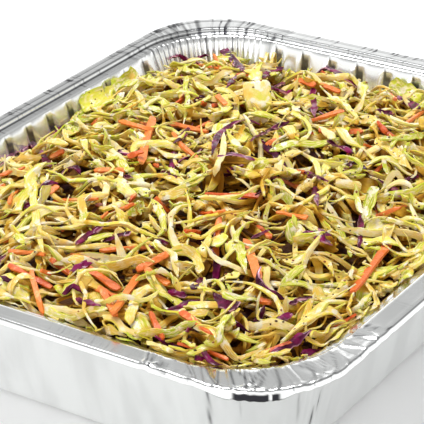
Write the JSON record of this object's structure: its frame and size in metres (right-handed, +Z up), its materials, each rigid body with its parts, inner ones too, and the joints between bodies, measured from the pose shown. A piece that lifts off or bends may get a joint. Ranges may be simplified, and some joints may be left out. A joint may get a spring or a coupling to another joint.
{
  "type": "coleslaw in a foil catering pan",
  "caption": "Creamy shredded cabbage and carrot salad heaped in a rectangular foil catering pan with fluted tapered walls, pleated corners and a rolled rim.",
  "frame": {"origin": "the middle of the pan's underside, on the surface it stands on", "axes": "+Z up, X along the pan's longer side, Y along its shorter side"},
  "size_m": [0.324, 0.264, 0.0723],
  "materials": {
    "foil": "bright pressed aluminium foil with soft creases",
    "cabbage": "moist shredded white cabbage, pale yellow-green, coated with thin creamy dressing",
    "red_cabbage": "moist shredded red cabbage, purple skin with pale cut edges",
    "carrot": "moist orange carrot sticks",
    "seasoning": "dark ground spice specks"
  },
  "bodies": {
    "root": {"tray": "foil", "coleslaw": "cabbage"}
  },
  "joints": []
}
